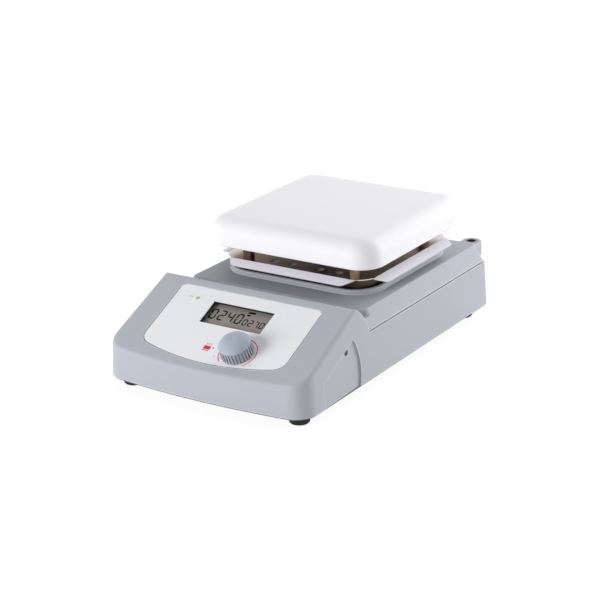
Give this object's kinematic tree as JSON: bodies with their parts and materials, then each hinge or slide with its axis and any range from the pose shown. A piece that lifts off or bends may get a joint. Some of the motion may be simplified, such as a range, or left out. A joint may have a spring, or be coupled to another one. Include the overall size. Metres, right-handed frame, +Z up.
{
  "type": "laboratory hot plate",
  "caption": "Low laboratory hot plate: square white enamelled top on posts over a slotted steel heat shield, sloping console with digital display and ribbed heat knob, rear power sockets.",
  "frame": {"origin": "on the bench, under the middle of the whole object's bounding box", "axes": "+X to the user's right, +Y from the console to the rear, +Z up"},
  "size_m": [0.2138, 0.3564, 0.1246],
  "materials": {
    "body_plastic": "fine moulded texture",
    "overlay_film": "satin film",
    "window_plastic": "clear",
    "display_glass": "grey-brown display face",
    "black_plastic": "matt",
    "knob_plastic": "satin blue-grey",
    "lamp_plastic": "tinted lens",
    "enamel": "glossy white enamel",
    "shield_steel": "bright rolled sheet",
    "zinc_steel": "zinc plated",
    "brass": "machined",
    "rubber": "matt black",
    "fibre_board": "pale ceramic fibre",
    "circuit_board": "green laminate",
    "element_sheet": "mica sheet",
    "iron_core": "dark laminated core",
    "relay_plastic": "blue case",
    "heat_sink_metal": "extruded",
    "fuse_glass": "clear tube"
  },
  "bodies": {
    "base": {"lower_housing": "body_plastic", "base_plate": "zinc_steel", "feet": "rubber", "foot_screws": "zinc_steel", "upper_cover": "body_plastic", "rod_insert": "brass", "cover_screws": "zinc_steel", "reflector_dish": "shield_steel", "dish_insulation": "fibre_board", "lower_sleeves": "shield_steel", "heat_shield": "shield_steel", "upper_sleeves": "shield_steel", "top_plate": "enamel", "heating_element": "element_sheet", "pressure_plate": "zinc_steel", "insulation_board": "fibre_board", "temperature_sensor": "zinc_steel", "thermal_cutout": "zinc_steel", "heater_pan": "shield_steel", "stud_nuts": "zinc_steel", "front_overlay": "overlay_film", "display_window": "window_plastic", "display_glass": "display_glass", "display_holder": "black_plastic", "status_lamp": "lamp_plastic", "control_board": "circuit_board", "board_screws": "zinc_steel", "ribbon_connector": "black_plastic", "pot_body": "zinc_steel", "pot_nut": "zinc_steel", "power_inlet": "black_plastic", "inlet_blades": "zinc_steel", "inlet_screws": "zinc_steel", "switch_housing": "black_plastic", "sensor_socket": "black_plastic", "sensor_nut": "zinc_steel", "data_port": "zinc_steel", "port_posts": "zinc_steel", "side_screws": "zinc_steel", "board_standoffs": "zinc_steel", "power_board": "circuit_board", "transformer": "iron_core", "heat_sink": "heat_sink_metal", "triac": "black_plastic", "relay": "relay_plastic", "fuse": "fuse_glass", "fuse_clips": "brass", "capacitors": "black_plastic"},
    "knob": {"heat_knob": "knob_plastic", "pot_shaft": "zinc_steel"},
    "rocker": {"switch_rocker": "black_plastic"}
  },
  "joints": [
    {"name": "heat_control", "type": "hinge", "parent": "base", "child": "knob", "pos_m": [0.0253, -0.15116, 0.05049], "axis": [0, -0.4171, 0.9089], "range_deg": [-150, 150]},
    {"name": "power_switch", "type": "hinge", "parent": "base", "child": "rocker", "pos_m": [-0.01201, 0.1613, 0.03247], "axis": [-1, 0, 0], "range_deg": [0, 18]}
  ]
}
